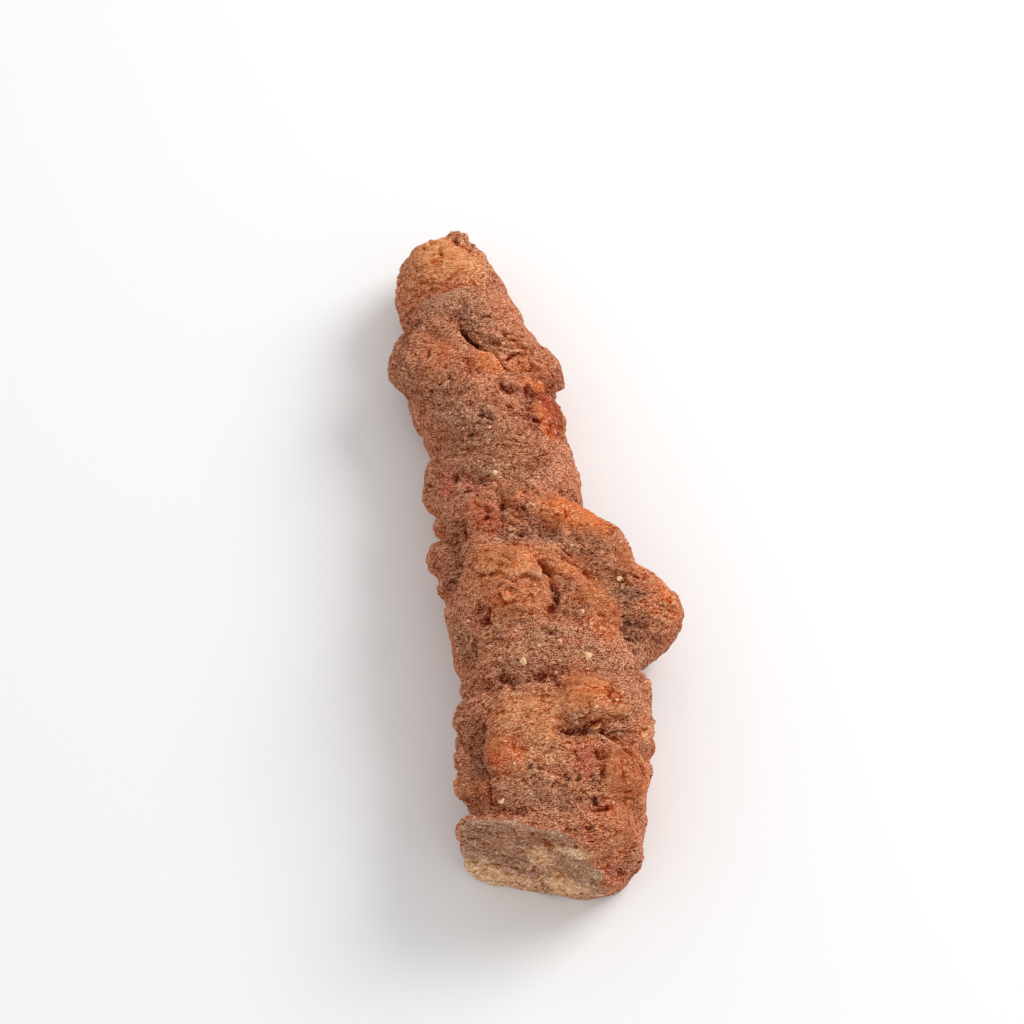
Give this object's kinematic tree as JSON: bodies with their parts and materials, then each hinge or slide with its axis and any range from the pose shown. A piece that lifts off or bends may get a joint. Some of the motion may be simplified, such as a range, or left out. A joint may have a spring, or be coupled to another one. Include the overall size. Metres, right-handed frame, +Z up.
{
  "type": "coprolite fossil",
  "caption": "Lumpy tapering fossil dropping of red-brown sandy stone, with folds, creases and pits, one rounded tip and one broken end.",
  "frame": {"origin": "middle of the stone's box in X and Y, at the height of the surface it lies on", "axes": "+Y along the stone towards its thin rounded tip, +Z up from the surface it lies on"},
  "size_m": [0.042, 0.124, 0.0261],
  "materials": {
    "stone": "rough grainy iron-stained sandstone, red-brown with orange patches, grey-brown where broken"
  },
  "bodies": {
    "root": {"coprolite": "stone"}
  },
  "joints": []
}
